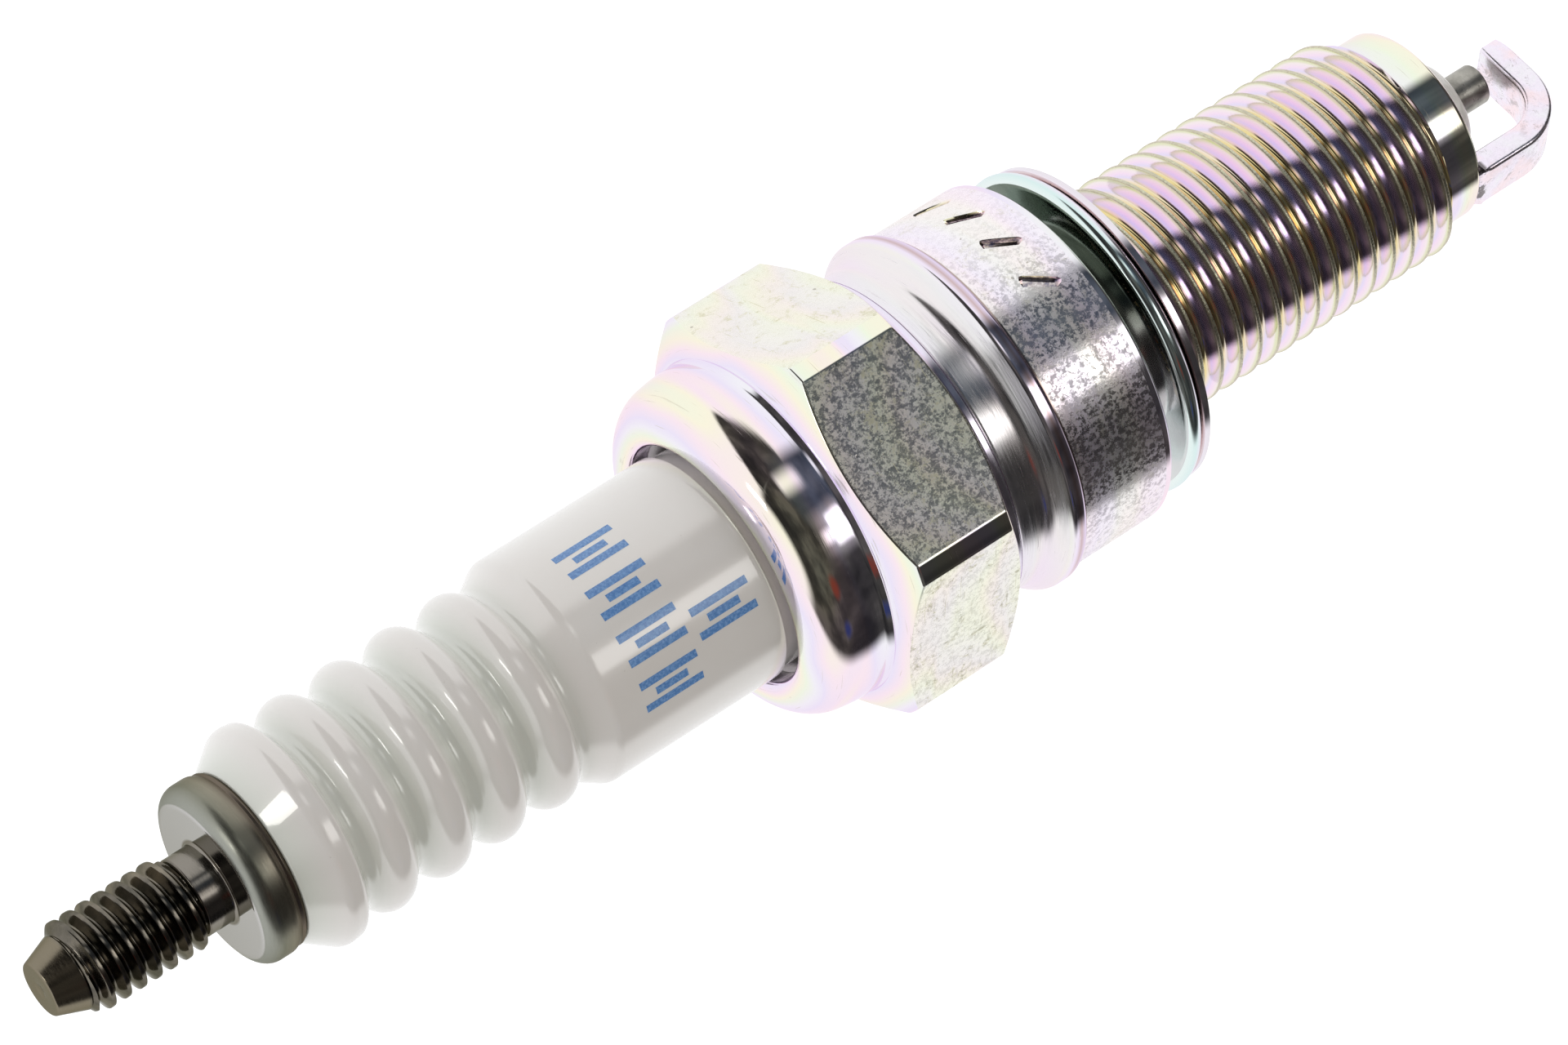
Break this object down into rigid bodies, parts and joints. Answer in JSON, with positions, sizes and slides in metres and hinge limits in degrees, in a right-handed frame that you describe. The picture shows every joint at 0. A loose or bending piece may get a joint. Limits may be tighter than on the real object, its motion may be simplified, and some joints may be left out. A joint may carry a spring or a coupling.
{
  "type": "spark plug",
  "caption": "Small-engine spark plug: ribbed white insulator, bare threaded terminal stud, hexagon shell, fine thread, loose crush gasket and bent ground electrode.",
  "frame": {"origin": "on the plug's axis, in the plane of the shell's seat, which is the datum that the 19 mm thread reach is measured from", "axes": "+Z along the plug's axis towards the terminal stud; +X square to a flat of the hexagon"},
  "size_m": [0.016, 0.018, 0.0728],
  "materials": {
    "terminal_steel": "polished dark nickel-plated steel",
    "glazed_alumina": "gloss white glaze",
    "plated_steel": "bright plate with a faint pink, violet and yellow film",
    "packing_steel": "plain drawn steel",
    "talc": "pressed powder",
    "gasket_steel": "bright plate with a pale green and pink film",
    "nickel_alloy": "turned nickel alloy",
    "copper": "plain copper",
    "seal_glass": "fused conductive glass and metal powder",
    "resistor_ceramic": "fused carbon and ceramic",
    "strap_nickel": "plated nickel alloy strap"
  },
  "bodies": {
    "plug": {"terminal_stud": "terminal_steel", "insulator": "glazed_alumina", "metal_shell": "plated_steel", "upper_packing_ring": "packing_steel", "talc_fill": "talc", "lower_packing_ring": "packing_steel", "seat_packing": "packing_steel", "centre_electrode": "nickel_alloy", "copper_core": "copper", "lower_glass_seal": "seal_glass", "resistor": "resistor_ceramic", "upper_glass_seal": "seal_glass", "ground_electrode": "strap_nickel"},
    "gasket": {"crush_gasket": "gasket_steel"}
  },
  "joints": [
    {"name": "gasket_slide", "type": "slide", "parent": "plug", "child": "gasket", "axis": [0, 0, 1], "range_m": [0, 0.0011]}
  ]
}
